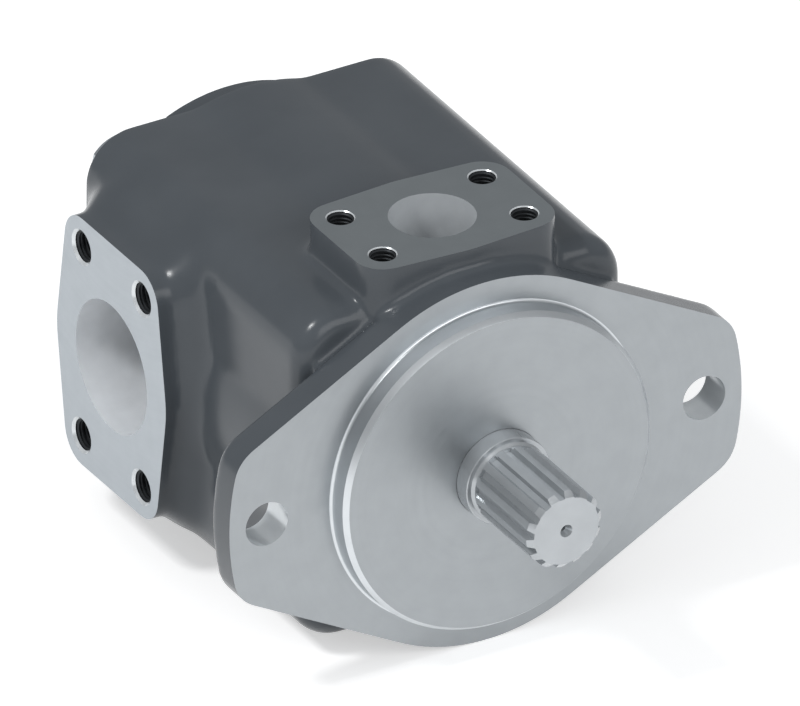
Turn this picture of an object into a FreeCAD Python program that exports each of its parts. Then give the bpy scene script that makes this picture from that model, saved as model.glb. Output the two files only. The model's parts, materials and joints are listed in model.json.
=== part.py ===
import FreeCAD, Part
import math
import os
import Sketcher
from FreeCAD import Vector

# A cartridge vane pump. X points right seen from the shaft end, Y from the mounting face to the rear, Z up.
# The origin is the centre of the mounting face, on the shaft's axis. All lengths are in millimetres.

document = FreeCAD.newDocument("vane_pump")
sheet = document.addObject("Spreadsheet::Sheet", "Sizes")

GIVEN = [
    # Mounting flange and pilot
    ("flange_thickness", 14, "mounting flange, front face to back"),
    ("flange_round", 74, "radius of the flange's middle"),
    ("ear_end", 106, "radius of the two ears' outer ends, about the shaft"),
    ("ear_slope", 28.5, "degrees between an ear's straight edge and X"),
    ("ear_corner", 15, "corner radius at an ear's end"),
    ("flange_back_round", 3, "rounded back edge of the flange"),
    ("flange_bolt_spacing", 181, "between the two mounting holes"),
    ("flange_bolt_hole", 8.75, "radius of a mounting hole"),
    ("pilot_radius", 63.5, "radius of the centring spigot"),
    ("pilot_height", 9.5, "spigot's face in front of the mounting face"),
    ("pilot_lead_length", 2, "lead-in chamfer of the spigot, along the axis"),
    ("pilot_lead_depth", 1.5, "lead-in chamfer of the spigot, radially"),
    # Outside of the two castings
    ("neck_radius", 70, "round neck behind the flange"),
    ("body_half", 67.5, "half width of the square body"),
    ("body_corner", 18.5, "corner radius of the body"),
    ("hump_rise", 3.5, "how far the round swelling of each side stands over the flat"),
    ("hump_blend", 20, "hollow radius between a swelling and the flat side"),
    ("body_front", 16, "front of the square body"),
    ("nose_round", 8, "rounded front edge of the square body"),
    ("parting", 72, "plane where the cap meets the housing"),
    ("body_rear", 169.5, "rear face, where the casing bolts seat"),
    ("rear_edge_round", 0.5, "rounded edge of the rear face"),
    ("boss_radius", 63, "rear boss"),
    ("boss_rear", 184.5, "rear face of the boss"),
    ("boss_round", 1.5, "rounded edge of the boss"),
    ("boss_relief", 25, "radius of the boss's relief round each bolt head"),
    # Pressure port, on top
    ("p_stand", 15.1, "height of the pressure pad over the flat of the body"),
    ("p_centre", 38.1, "pressure port behind the mounting face"),
    ("p_bore", 16, "radius of the pressure port"),
    ("p_long", 58.7, "screw spacing across the pump"),
    ("p_short", 30.2, "screw spacing along the pump"),
    ("p_screw", 5, "radius of a tapped hole"),
    ("p_screw_depth", 19, "depth of a tapped hole"),
    ("p_corner", 11, "corner radius of the pad"),
    ("p_middle", 28, "radius of the pad's swelling round the port"),
    # Suction port, on the left
    ("s_stand", 15, "height of the suction pad over the flat of the body"),
    ("s_centre", 125.3, "suction port behind the mounting face"),
    ("s_bore", 25.4, "radius of the suction port"),
    ("s_bore_depth", 26, "depth to which the suction port is bored"),
    ("s_throat", 28, "radius of the cast passage behind that bore"),
    ("s_long", 77.8, "screw spacing, up and down"),
    ("s_short", 42.9, "screw spacing along the pump"),
    ("s_screw", 6, "radius of a tapped hole"),
    ("s_screw_depth", 22, "depth of a tapped hole"),
    ("s_corner", 12, "corner radius of the pad"),
    ("s_middle", 39, "radius of the pad's swelling round the port"),
    ("s_pad", 6, "thickness of the suction pad's straight wall"),
    ("s_foot_spread", 9, "how far the pad's foot spreads where it meets the body"),
    ("port_end", 2, "from the end of a port's passage to the collar or the pedestal"),
    ("pad_root", 2, "from the root of the suction pad to the suction chamber"),
    ("thread_chamfer", 0.5, "chamfer at the mouth of each tapped hole"),
    # Casing bolts
    ("bolt_inset", 16.1, "axis of a casing bolt in from the two flats of the body beside it"),
    ("bolt_radius", 6, "thread of a casing bolt"),
    ("bolt_hole", 6.75, "radius of a casing bolt's hole in the housing"),
    ("bolt_length", 130, "casing bolt under its head"),
    ("bolt_flats", 19, "across the flats of a bolt head"),
    ("bolt_head", 7.5, "height of a bolt head"),
    ("bolt_crown", 1.6, "how far down the round crown of a head reaches at its corners"),
    ("bolt_chamfer", 1.2, "chamfer at a bolt's tip"),
    ("bolt_hole_spare", 5, "depth of the tapped hole past the bolt's tip"),
    ("washer_face", 0.6, "height of the round bearing face under a bolt head"),
    ("washer_inset", 0.5, "bearing face and crown inside the flats of a bolt head"),
    # Shaft
    ("shaft_radius", 17.5, "shaft in its seal and its bearing"),
    ("shaft_nose", 16.5, "seal land's end in front of the mounting face"),
    ("shaft_tip", 58, "shaft end in front of the mounting face"),
    ("relief_radius", 14.7, "groove behind the spline"),
    ("relief_length", 3.2, "length of that groove"),
    ("relief_slope", 1, "sloped root of that groove, where it meets the seal land"),
    ("land_chamfer", 0.3, "edge at the front of the seal land"),
    ("spline_radius", 15.5, "outside of the driving spline"),
    ("spline_root", 13.3, "root of the driving spline"),
    ("spline_teeth", 14, "teeth of the driving spline"),
    ("spline_turn", 7, "degrees from the top to a gap of the driving spline"),
    ("tip_chamfer", 2, "chamfer at the shaft's end"),
    ("centre_hole", 2.5, "mouth of the centre-drilling in the shaft's end"),
    ("centre_cone", 2.6, "depth of its cone"),
    ("centre_drill", 1, "radius of the drilling under the cone"),
    ("centre_depth", 5, "depth of the whole centre-drilling"),
    ("shoulder_radius", 21, "shaft shoulder behind the bearing"),
    ("shoulder_length", 4.5, "length of that shoulder"),
    ("shank_radius", 16.5, "shaft between the bearing and the rotor"),
    ("drive_radius", 12.8, "outside of the rotor's spline"),
    ("drive_root", 11.6, "root of the rotor's spline"),
    ("drive_teeth", 12, "teeth of the rotor's spline"),
    ("drive_tooth", 3.2, "width of a tooth of the rotor's spline"),
    ("gap_root", 2.2, "gap of the driving spline at its root"),
    ("gap_mouth", 5.0, "gap of the driving spline, just outside the teeth"),
    ("nose_chamfer", 1, "small chamfers of the shaft"),
    ("journal_radius", 11, "shaft in the rear bush"),
    ("journal_spare", 2, "journal past the rear of its bush"),
    # Seal and bearing
    ("seal_lip_height", 4.4, "rubber of the shaft seal, from the shaft to its case"),
    ("seal_skin", 1, "thickness of the seal's case and lip"),
    ("lip_edge", 4, "from the front of the seal to the edge of its lip"),
    ("lip_back", 5.6, "from the front of the seal to the back of its lip"),
    ("garter_wire", 0.6, "radius of the spring round the seal's lip"),
    ("front_wall", 3, "cap's wall in front of the seal"),
    ("front_hole", 17.8, "hole round the shaft in that wall"),
    ("front_chamfer", 1, "chamfer at the mouth of that hole"),
    ("seal_radius", 28, "outside of the shaft seal"),
    ("seal_width", 8, "width of the shaft seal"),
    ("bearing_front", 3, "front of the bearing"),
    ("bearing_width", 17, "width of the bearing"),
    ("bearing_radius", 36, "outside of the bearing"),
    ("ring_share", 0.276, "thickness of a bearing ring, as a share of the room round the shaft"),
    ("ball_share", 0.3, "radius of a ball, as a share of that room"),
    ("ball_count", 9, "balls in the bearing"),
    ("cage_wall", 2.7, "thickness of the ball cage"),
    ("cage_rim", 0.75, "rim of the ball cage on each side of its pockets"),
    ("ring_width", 2.5, "retaining ring in the cap"),
    ("ring_bite", 1.6, "depth of that ring's groove"),
    ("ring_reach", 4, "how far that ring stands in over the bearing"),
    ("ring_opening", 12, "gap of the retaining ring in the cap"),
    ("clip_opening", 8, "gap of the retaining ring on the shaft"),
    ("clip_width", 1.5, "retaining ring on the shaft"),
    ("clip_bite", 0.9, "depth of that ring's groove"),
    ("clip_reach", 2.8, "how far that ring stands out of the shaft"),
    # Cartridge
    ("chamber_front", 24, "front of the pressure chamber"),
    ("collar_radius", 41, "outside of the collar round the hub"),
    ("collar_rear", 37, "rear end of that collar"),
    ("cartridge_radius", 48, "pressure plate, cam ring and side plate"),
    ("hub_front", 27, "front face of the pressure plate's hub"),
    ("hub_bore", 19, "bore of the pressure plate"),
    ("hub_waist", 29, "radius of the hub's waist"),
    ("plate_thickness", 14, "pressure plate's disc"),
    ("seal_margin", 4, "from a face to the groove of its square seal"),
    ("spring_margin", 0.6, "disc spring inside its bore"),
    ("spring_reach", 5, "disc spring's bore outside the hub's bore"),
    ("ring_seal", 2.4, "depth of the square seals' grooves"),
    ("seal_groove_width", 4.4, "width of those grooves"),
    ("backup_width", 1.2, "width of a back-up ring"),
    ("rotor_width", 36, "width of the cam ring"),
    ("rotor_radius", 34, "rotor"),
    ("side_plate", 16, "thickness of the rear side plate"),
    ("bush_wall", 3, "wall of the rear bush"),
    ("cam_minor", 34.35, "smallest radius of the cam"),
    ("cam_major", 39.9, "largest radius of the cam"),
    ("cam_dwell", 36, "degrees over which each cam arc keeps its radius"),
    ("vane_count", 10, "vanes in the rotor"),
    ("vane_thickness", 2.4, "vane"),
    ("vane_inset", 0.5, "vane tip below the rotor's rim at rest"),
    ("vane_height", 11, "vane, from tip to foot"),
    ("vane_edge", 0.6, "bevel of the vane's tip"),
    ("vane_pin", 1.15, "radius of the pin under a vane"),
    ("vane_pin_length", 7.6, "length of that pin"),
    ("intake_width", 30, "width of an intake window in the cam ring"),
    ("intake_depth", 4, "depth of an intake window"),
    ("port_inner", 30.5, "inner radius of the kidney ports"),
    ("port_outer", 38, "outer radius of the kidney ports"),
    ("port_sweep", 44, "degrees over which a kidney port runs"),
    ("dowel_radius", 3, "cartridge dowel"),
    ("dowel_circle", 42, "radius of the dowels' circle"),
    ("dowel_bite", 9, "how far a dowel enters each plate"),
    ("screw_radius", 2.5, "cartridge screw"),
    ("screw_angle", 24, "degrees from a dowel to a cartridge screw"),
    ("screw_head", 4.25, "radius of a cartridge screw's head"),
    ("screw_head_height", 5, "height of that head"),
    ("recess_depth", 4, "depth of the side plate's kidney recesses"),
    ("spring_thickness", 0.9, "disc spring in front of the pressure plate"),
    # Inside of the housing
    ("cavity_radius", 54, "suction chamber"),
    ("cavity_rear", 157, "rear end of the suction chamber"),
    ("boss_bore", 42, "hollow of the rear boss"),
    ("boss_wall", 11, "rear wall of the boss"),
    ("pedestal_outer", 35, "outside of the pedestal behind the side plate"),
    ("pedestal_inner", 25, "inside of that pedestal"),
    ("pedestal_window", 14, "half height of the pedestal's two windows"),
    ("pedestal_front_rim", 6, "pedestal in front of its windows"),
    ("pedestal_rear_rim", 11, "pedestal behind its windows"),
    ("face_seal_radius", 56.4, "inner radius of the seal between cap and housing"),
    ("face_seal_width", 2.2, "width of that seal"),
    ("face_seal_depth", 2.2, "depth of its groove"),
    # Fits
    ("seat_gap", 0.02, "between pieces that seat and do not move"),
    ("running_gap", 0.05, "between pieces that turn or slide"),
    ("thread_gap", 0.05, "between a thread and its tapped hole"),
]

for row, (alias, amount, meaning) in enumerate(GIVEN, start=1):
    sheet.set(f"A{row}", meaning)
    sheet.set(f"B{row}", str(amount))
    sheet.setAlias(f"B{row}", alias)
document.recompute()


# A size is a number together with the expression that keeps a feature bound to the sheet.
class Size:
    def __init__(self, value, text):
        self.value = value
        self.text = text

    def __add__(self, other):
        return joined(self, "+", other)

    def __radd__(self, other):
        return joined(other, "+", self)

    def __sub__(self, other):
        return joined(self, "-", other)

    def __rsub__(self, other):
        return joined(other, "-", self)

    def __mul__(self, other):
        return joined(self, "*", other)

    def __rmul__(self, other):
        return joined(other, "*", self)

    def __truediv__(self, other):
        return joined(self, "/", other)

    def __rtruediv__(self, other):
        return joined(other, "/", self)

    def __neg__(self):
        return joined(0, "-", self)


def as_size(amount):
    return amount if isinstance(amount, Size) else Size(float(amount), repr(float(amount)))


def joined(first, sign, second):
    a, b = as_size(first), as_size(second)
    results = {
        "+": lambda: a.value + b.value,
        "-": lambda: a.value - b.value,
        "*": lambda: a.value * b.value,
        "/": lambda: a.value / b.value,
    }
    return Size(results[sign](), f"({a.text} {sign} {b.text})")


def sine(degrees):
    angle = as_size(degrees)
    return Size(math.sin(math.radians(angle.value)), f"sin({angle.text})")


def cosine(degrees):
    angle = as_size(degrees)
    return Size(math.cos(math.radians(angle.value)), f"cos({angle.text})")


class NamedSizes:
    def __getattr__(self, alias):
        return Size(float(sheet.get(alias)), "Sizes." + alias)


d = NamedSizes()


def bind(thing, path, amount):
    thing.setExpression(path, as_size(amount).text)


# Sketches. Each point of an outline is held to the sheet by its distances from the sketch's origin.
PLANE_NORMAL = {"XY_Plane": 1, "XZ_Plane": -1, "YZ_Plane": 1}


class Drawing:
    def __init__(self, body, plane, along=0):
        origin_plane = [item for item in body.Origin.OriginFeatures if item.Role == plane][0]
        self.body = body
        self.normal = PLANE_NORMAL[plane]
        self.sketch = body.newObject("Sketcher::SketchObject", body.Name + "_sketch")
        self.sketch.AttachmentSupport = (origin_plane, [""])
        self.sketch.MapMode = "FlatFace"
        bind(self.sketch, "AttachmentOffset.Base.z", along if self.normal > 0 else 0 - as_size(along))

    def hold(self, kind, amount, *where):
        amount = as_size(amount)
        number = self.sketch.addConstraint(Sketcher.Constraint(kind, *where, amount.value))
        self.sketch.renameConstraint(number, f"{kind}{number}")
        if "Sizes." in amount.text:
            bind(self.sketch, f"Constraints.{kind}{number}", amount)

    def pin_point(self, piece, end, across, up):
        self.hold("DistanceX", across, -1, 1, piece, end)
        self.hold("DistanceY", up, -1, 1, piece, end)

    def circle(self, across, up, radius):
        centre = Vector(as_size(across).value, as_size(up).value, 0)
        piece = self.sketch.addGeometry(Part.Circle(centre, Vector(0, 0, 1), as_size(radius).value))
        self.pin_point(piece, 3, across, up)
        self.hold("Radius", radius, piece)

    def polygon(self, corners):
        spots = [Vector(as_size(across).value, as_size(up).value, 0) for across, up in corners]
        pieces = [
            self.sketch.addGeometry(Part.LineSegment(start, end))
            for start, end in zip(spots, spots[1:] + spots[:1])
        ]
        for piece, following in zip(pieces, pieces[1:] + pieces[:1]):
            self.sketch.addConstraint(Sketcher.Constraint("Coincident", piece, 2, following, 1))
        for piece, (across, up) in zip(pieces, corners):
            self.pin_point(piece, 1, across, up)

    def belt(self, circles):
        """The outline of a belt stretched round circles, which are listed anticlockwise."""
        round_count = len(circles)
        leaving = []
        for number, (across, up, radius) in enumerate(circles):
            next_across, next_up, next_radius = circles[(number + 1) % round_count]
            step_x = (next_across - across).value
            step_y = (next_up - up).value
            lean = math.acos((radius - next_radius).value / math.hypot(step_x, step_y))
            leaving.append(math.atan2(step_y, step_x) - lean)
        arcs = []
        for number, (across, up, radius) in enumerate(circles):
            centre = Vector(across.value, up.value, 0)
            start, end = leaving[number - 1], leaving[number]
            end += 2 * math.pi if end < start else 0
            circle = Part.Circle(centre, Vector(0, 0, 1), radius.value)
            arcs.append(Part.ArcOfCircle(circle, start, end))
        rounds = [self.sketch.addGeometry(arc) for arc in arcs]
        for number, arc in enumerate(arcs):
            following = (number + 1) % round_count
            straight = Part.LineSegment(arc.EndPoint, arcs[following].StartPoint)
            line = self.sketch.addGeometry(straight)
            self.sketch.addConstraint(Sketcher.Constraint("Tangent", rounds[number], 2, line, 1))
            self.sketch.addConstraint(Sketcher.Constraint("Tangent", line, 2, rounds[following], 1))
        for piece, (across, up, radius) in zip(rounds, circles):
            self.pin_point(piece, 3, across, up)
            self.hold("Radius", radius, piece)

    def sector(self, inner, outer, start, end):
        """A slot along part of a circle about the shaft: two arcs and two radial ends."""
        start, end = as_size(start), as_size(end)
        turns = [math.radians(start.value), math.radians(end.value)]
        arcs = []
        for radius in (inner, outer):
            circle = Part.Circle(Vector(), Vector(0, 0, 1), radius.value)
            arcs.append(self.sketch.addGeometry(Part.ArcOfCircle(circle, *turns)))
            self.pin_point(arcs[-1], 3, 0, 0)
            self.hold("Radius", radius, arcs[-1])
        for end_number, (turn, angle) in enumerate(zip(turns, (start, end)), start=1):
            spots = [Vector(r.value * math.cos(turn), r.value * math.sin(turn), 0) for r in (inner, outer)]
            line = self.sketch.addGeometry(Part.LineSegment(*spots))
            for line_end, arc in enumerate(arcs, start=1):
                self.sketch.addConstraint(Sketcher.Constraint("Coincident", line, line_end, arc, end_number))
            self.hold("DistanceX", inner * cosine(angle), -1, 1, line, 1)
            self.hold("DistanceX", outer * cosine(angle), -1, 1, line, 2)

    def add(self, kind, length, towards):
        feature = self.body.newObject("PartDesign::" + kind, self.body.Name + "_" + kind.lower())
        feature.Profile = self.sketch
        bind(feature, "Length", length)
        outward = towards == self.normal
        feature.Reversed = outward if kind == "Pocket" else not outward
        settle(self.body, feature, kind)
        return feature

    def pad(self, length, towards):
        return self.add("Pad", length, towards)

    def pocket(self, length, towards):
        return self.add("Pocket", length, towards)

    def turn(self, kind="Revolution"):
        feature = self.body.newObject("PartDesign::" + kind, self.body.Name + "_" + kind.lower())
        feature.Profile = self.sketch
        feature.ReferenceAxis = (self.sketch, ["H_Axis"])
        feature.Angle = 360
        settle(self.body, feature, kind)
        return feature


def settle(body, feature, kind):
    """Works the feature out, and stops if it failed or if a cut took nothing away."""
    before = body.BaseVolume
    document.recompute()
    if "Invalid" in feature.State or "Error" in feature.State or feature.Shape.isNull():
        raise RuntimeError(f"{feature.Name} failed: {feature.State}")
    after = feature.Shape.Volume
    if kind in ("Pocket", "Groove") and not after < before - 1e-6:
        raise RuntimeError(f"{feature.Name} cut nothing")
    body.BaseVolume = after


def new_body(label):
    body = document.addObject("PartDesign::Body", label)
    body.Label = label
    body.addProperty("App::PropertyFloat", "BaseVolume")
    return body


def rounded(body, kind, amount, chosen):
    """Fillets or chamfers the edges of the body so far that pass the test."""
    base = body.Tip
    edges = [f"Edge{number}" for number, edge in enumerate(base.Shape.Edges, start=1) if chosen(edge)]
    feature = body.newObject("PartDesign::" + kind, body.Name + "_" + kind.lower())
    feature.Base = (base, edges)
    bind(feature, "Radius" if kind == "Fillet" else "Size", amount)
    settle(body, feature, kind)


def repeated(body, feature, count, axis):
    """Repeats one feature evenly round an axis of the body."""
    pattern = body.newObject("PartDesign::PolarPattern", body.Name + "_pattern")
    pattern.Originals = [feature]
    axis_line = [item for item in body.Origin.OriginFeatures if item.Role == axis][0]
    pattern.Axis = (axis_line, [""])
    pattern.Angle = 360
    bind(pattern, "Occurrences", count)
    body.Tip = pattern
    settle(body, pattern, "Pattern")


def turned(label, profile):
    """A piece turned about the shaft's axis. The profile lists distances along and out from it."""
    body = new_body(label)
    drawing = Drawing(body, "YZ_Plane")
    drawing.polygon(profile)
    drawing.turn()
    return body


def tube(label, front, rear, inner, outer):
    return turned(label, [(front, inner), (rear, inner), (rear, outer), (front, outer)])


def bored(body, profile):
    drawing = Drawing(body, "YZ_Plane")
    drawing.polygon(profile)
    return drawing.turn("Groove")


# A cut starts and ends this far outside the metal, and two bodies that are joined overlap by it.
OVER = 1
# A belt needs its circles in different places, so a swelling's two arcs are this far apart.
SLIVER = 0.001

hump_radius = d.body_half + d.hump_rise
p_face = d.body_half + d.p_stand
s_face = d.body_half + d.s_stand


def near(value, target, slack=0.01):
    return abs(value - target) < slack


def straight_along_y(edge):
    return edge.Curve.TypeId == "Part::GeomLine" and near(abs(edge.tangentAt(edge.FirstParameter).y), 1)


def flat_in_y(edge, place):
    box = edge.BoundBox
    return near(box.YMin, place) and near(box.YMax, place)


def from_axis(edge):
    middle = edge.valueAt((edge.FirstParameter + edge.LastParameter) / 2)
    return math.hypot(middle.x, middle.z)


bolt_offset = d.body_half - d.bolt_inset
bolt_places = [(bolt_offset, bolt_offset), (-bolt_offset, bolt_offset),
               (-bolt_offset, -bolt_offset), (bolt_offset, -bolt_offset)]


def square_body(body, front, length):
    """The square section with a round swelling in the middle of each side, which both castings share."""
    corner = d.body_half - d.body_corner
    square = Drawing(body, "XZ_Plane", front)
    square.belt([(corner, -corner, d.body_corner), (corner, corner, d.body_corner),
                 (-corner, corner, d.body_corner), (-corner, -corner, d.body_corner)])
    square.pad(length, 1)
    swelling = Drawing(body, "XZ_Plane", front)
    swelling.circle(0, 0, hump_radius)
    swelling.pad(length, 1)
    limit = hump_radius.value
    rounded(body, "Fillet", d.hump_blend, lambda edge: straight_along_y(edge) and near(from_axis(edge), limit))


def tapped_holes(body, plane, face, places, radius, depth, towards):
    """Blind tapped holes with a chamfered mouth, drilled from a face towards the inside."""
    holes = Drawing(body, plane, face)
    for across, up in places:
        holes.circle(across, up, radius)
    holes.pocket(depth, towards)
    mouth = as_size(face).value
    size = radius.value
    direction = {"XY_Plane": "z", "YZ_Plane": "x", "XZ_Plane": "y"}[plane]

    def is_mouth(edge):
        if edge.Curve.TypeId != "Part::GeomCircle" or not near(edge.Curve.Radius, size):
            return False
        return near(getattr(edge.Curve.Center, direction), mouth)

    rounded(body, "Chamfer", d.thread_chamfer, is_mouth)


# Mounting cap: flange, spigot, shaft seal and bearing seats, pressure port and the pressure chamber
seal_front = d.front_wall - d.pilot_height
bearing_rear = d.bearing_front + d.bearing_width
bolt_tip = d.body_rear - d.bolt_length
tapped_floor = bolt_tip - d.bolt_hole_spare


def flange_outline(body):
    """A round middle, four straight edges tangent to it, and two ears that end on one large circle."""
    drawing = Drawing(body, "XZ_Plane", 0)
    sketch = drawing.sketch
    slope = math.radians(d.ear_slope.value)
    middle, end = d.flange_round.value, d.ear_end.value
    touch = math.pi / 2 - slope
    tip = touch - math.acos(middle / end)
    quarter_turns = [(touch, math.pi - touch), (math.pi + touch, 2 * math.pi - touch)]
    ends = [(-tip, tip), (math.pi - tip, math.pi + tip)]

    def arc(radius, span):
        return Part.ArcOfCircle(Part.Circle(Vector(), Vector(0, 0, 1), radius), *span)

    top, bottom = [sketch.addGeometry(arc(middle, span)) for span in quarter_turns]
    right, left = [sketch.addGeometry(arc(end, span)) for span in ends]
    for piece, radius in ((top, d.flange_round), (bottom, d.flange_round), (right, d.ear_end), (left, d.ear_end)):
        drawing.pin_point(piece, 3, 0, 0)
        drawing.hold("Radius", radius, piece)
    joins = [(right, top, touch), (left, top, math.pi - touch),
             (left, bottom, math.pi + touch), (right, bottom, -touch)]
    for ear, middle_arc, angle in joins:
        upper = middle_arc == top
        ear_angle = {right: 0, left: math.pi}[ear]
        ear_turn = tip if (upper == (ear == right)) else -tip
        start = Vector(end * math.cos(ear_angle + ear_turn), end * math.sin(ear_angle + ear_turn), 0)
        finish = Vector(middle * math.cos(angle), middle * math.sin(angle), 0)
        line = sketch.addGeometry(Part.LineSegment(start, finish))
        ear_end = 2 if (upper == (ear == right)) else 1
        arc_end = 1 if (upper == (ear == right)) else 2
        sketch.addConstraint(Sketcher.Constraint("Coincident", ear, ear_end, line, 1))
        sketch.addConstraint(Sketcher.Constraint("Tangent", middle_arc, arc_end, line, 2))
        direction = math.degrees(math.atan2(finish.y - start.y, finish.x - start.x))
        lean = {True: 180 - d.ear_slope, False: d.ear_slope}[ear == right]
        if not upper:
            lean = 0 - lean
        number = sketch.addConstraint(Sketcher.Constraint("Angle", line, math.radians(direction)))
        sketch.renameConstraint(number, f"Slope{number}")
        bind(sketch, f"Constraints.Slope{number}", lean)
    return drawing


def make_mounting_cap():
    body = new_body("mounting_cap")
    square_body(body, d.body_front, d.parting - d.body_front)
    front = d.body_front.value
    rounded(body, "Fillet", d.nose_round, lambda edge: flat_in_y(edge, front))

    neck = Drawing(body, "XZ_Plane", 0)
    neck.circle(0, 0, d.neck_radius)
    neck.pad(d.parting, 1)

    flange = flange_outline(body)
    flange.pad(d.flange_thickness, 1)
    reach = (d.ear_end - d.ear_corner).value
    rounded(body, "Fillet", d.ear_corner, lambda edge: straight_along_y(edge) and from_axis(edge) > reach)
    back = d.flange_thickness.value
    rim = d.neck_radius.value + OVER
    rounded(body, "Fillet", d.flange_back_round, lambda edge: flat_in_y(edge, back) and from_axis(edge) > rim)

    spigot = Drawing(body, "YZ_Plane")
    lead = d.pilot_lead_length - d.pilot_height
    spigot.polygon([(0, 0), (0, d.pilot_radius), (lead, d.pilot_radius),
                    (-d.pilot_height, d.pilot_radius - d.pilot_lead_depth), (-d.pilot_height, 0)])
    spigot.turn()

    pressure_pad(body)

    # The stepped bore: wall round the shaft, seal seat, bearing seat with a ring groove, hub seat, chamber
    ring_front = bearing_rear
    ring_rear = bearing_rear + d.ring_width + 2 * d.seat_gap
    groove = d.bearing_radius + d.ring_bite
    mouth = d.front_hole + d.front_chamfer
    bored(body, [
        (-d.pilot_height - OVER, 0), (-d.pilot_height - OVER, mouth), (-d.pilot_height, mouth),
        (d.front_chamfer - d.pilot_height, d.front_hole), (seal_front, d.front_hole), (seal_front, d.seal_radius),
        (d.bearing_front, d.seal_radius), (d.bearing_front, d.bearing_radius),
        (ring_front, d.bearing_radius), (ring_front, groove), (ring_rear, groove),
        (ring_rear, d.bearing_radius), (d.parting + OVER, d.bearing_radius), (d.parting + OVER, 0),
    ])
    chamber = d.cartridge_radius + d.seat_gap
    bored(body, [
        (d.chamber_front, d.collar_radius), (d.chamber_front, chamber), (d.parting + OVER, chamber),
        (d.parting + OVER, 0), (d.collar_rear, 0), (d.collar_rear, d.collar_radius),
    ])
    seal_inner = d.face_seal_radius
    seal_outer = d.face_seal_radius + d.face_seal_width + 2 * d.seat_gap
    groove_floor = d.parting - d.face_seal_depth
    bored(body, [(groove_floor, seal_inner), (d.parting + OVER, seal_inner),
                 (d.parting + OVER, seal_outer), (groove_floor, seal_outer)])

    port = Drawing(body, "XY_Plane", p_face)
    port.circle(0, d.p_centre, d.p_bore)
    port.pocket(p_face - d.collar_radius - d.port_end, -1)
    half_long, half_short = d.p_long / 2, d.p_short / 2
    places = [(side * half_long, d.p_centre + end * half_short) for side in (-1, 1) for end in (-1, 1)]
    tapped_holes(body, "XY_Plane", p_face, places, d.p_screw, d.p_screw_depth, -1)
    tapped_holes(body, "XZ_Plane", d.parting, bolt_places, d.bolt_radius + d.thread_gap,
                 d.parting - tapped_floor, -1)

    mounting = Drawing(body, "XZ_Plane", 0)
    for side in (-1, 1):
        mounting.circle(side * d.flange_bolt_spacing / 2, 0, d.flange_bolt_hole)
    mounting.pocket(d.flange_thickness, 1)
    return body


def pressure_pad(body):
    """The raised pad of the pressure port, with its foot in the casting."""
    half_long, half_short = d.p_long / 2, d.p_short / 2
    front, rear = d.p_centre - half_short, d.p_centre + half_short
    pad = Drawing(body, "XY_Plane", p_face)
    pad.belt([
        (as_size(0), d.p_centre - SLIVER, d.p_middle), (half_long, front, d.p_corner),
        (half_long, rear, d.p_corner), (as_size(0), d.p_centre + SLIVER, d.p_middle),
        (-half_long, rear, d.p_corner), (-half_long, front, d.p_corner),
    ])
    pad.pad(p_face - d.body_half + d.body_corner, -1)


# Rear housing: the square body, the suction port, the rear boss and the chamber that holds the cartridge
def make_rear_housing():
    body = new_body("rear_housing")
    square_body(body, d.parting, d.body_rear - d.parting)
    rear = d.body_rear.value
    rounded(body, "Fillet", d.rear_edge_round, lambda edge: flat_in_y(edge, rear))

    boss = Drawing(body, "XZ_Plane", d.boss_rear)
    boss.circle(0, 0, d.boss_radius)
    boss.pad(d.boss_rear - d.body_rear + d.body_corner, -1)
    reliefs = Drawing(body, "XZ_Plane", d.boss_rear)
    for across, up in bolt_places:
        reliefs.circle(across, up, d.boss_relief)
    reliefs.pocket(d.boss_rear - d.body_rear, -1)
    end = d.boss_rear.value
    rounded(body, "Fillet", d.boss_round, lambda edge: flat_in_y(edge, end))

    suction_pad(body)

    # The suction chamber and the hollow of the boss, with the pedestal left standing in the middle
    floor = d.boss_rear - d.boss_wall
    plate_rear = d.parting + d.rotor_width + d.side_plate
    bored(body, [
        (d.parting - OVER, 0), (d.parting - OVER, d.cavity_radius), (d.cavity_rear, d.cavity_radius),
        (d.cavity_rear, d.boss_bore), (floor, d.boss_bore), (floor, d.pedestal_outer),
        (plate_rear, d.pedestal_outer), (plate_rear, 0),
    ])
    bored(body, [(plate_rear - OVER, 0), (plate_rear - OVER, d.pedestal_inner),
                 (floor, d.pedestal_inner), (floor, 0)])
    windows = Drawing(body, "YZ_Plane", -d.pedestal_outer)
    window_front = plate_rear + d.pedestal_front_rim
    window_rear = floor - d.pedestal_rear_rim
    windows.polygon([(window_front, -d.pedestal_window), (window_rear, -d.pedestal_window),
                     (window_rear, d.pedestal_window), (window_front, d.pedestal_window)])
    windows.pocket(2 * d.pedestal_outer, 1)

    port = Drawing(body, "YZ_Plane", -s_face)
    port.circle(d.s_centre, 0, d.s_bore)
    port.pocket(d.s_bore_depth, 1)
    throat = Drawing(body, "YZ_Plane", d.s_bore_depth - s_face)
    throat.circle(d.s_centre, 0, d.s_throat)
    throat.pocket(s_face - d.s_bore_depth - d.pedestal_outer - d.port_end, 1)
    half_long, half_short = d.s_long / 2, d.s_short / 2
    places = [(d.s_centre + end * half_short, side * half_long) for side in (-1, 1) for end in (-1, 1)]
    tapped_holes(body, "YZ_Plane", -s_face, places, d.s_screw, d.s_screw_depth, 1)

    bolt_holes = Drawing(body, "XZ_Plane", d.parting)
    for across, up in bolt_places:
        bolt_holes.circle(across, up, d.bolt_hole)
    bolt_holes.pocket(d.body_rear - d.parting, 1)
    return body


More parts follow.
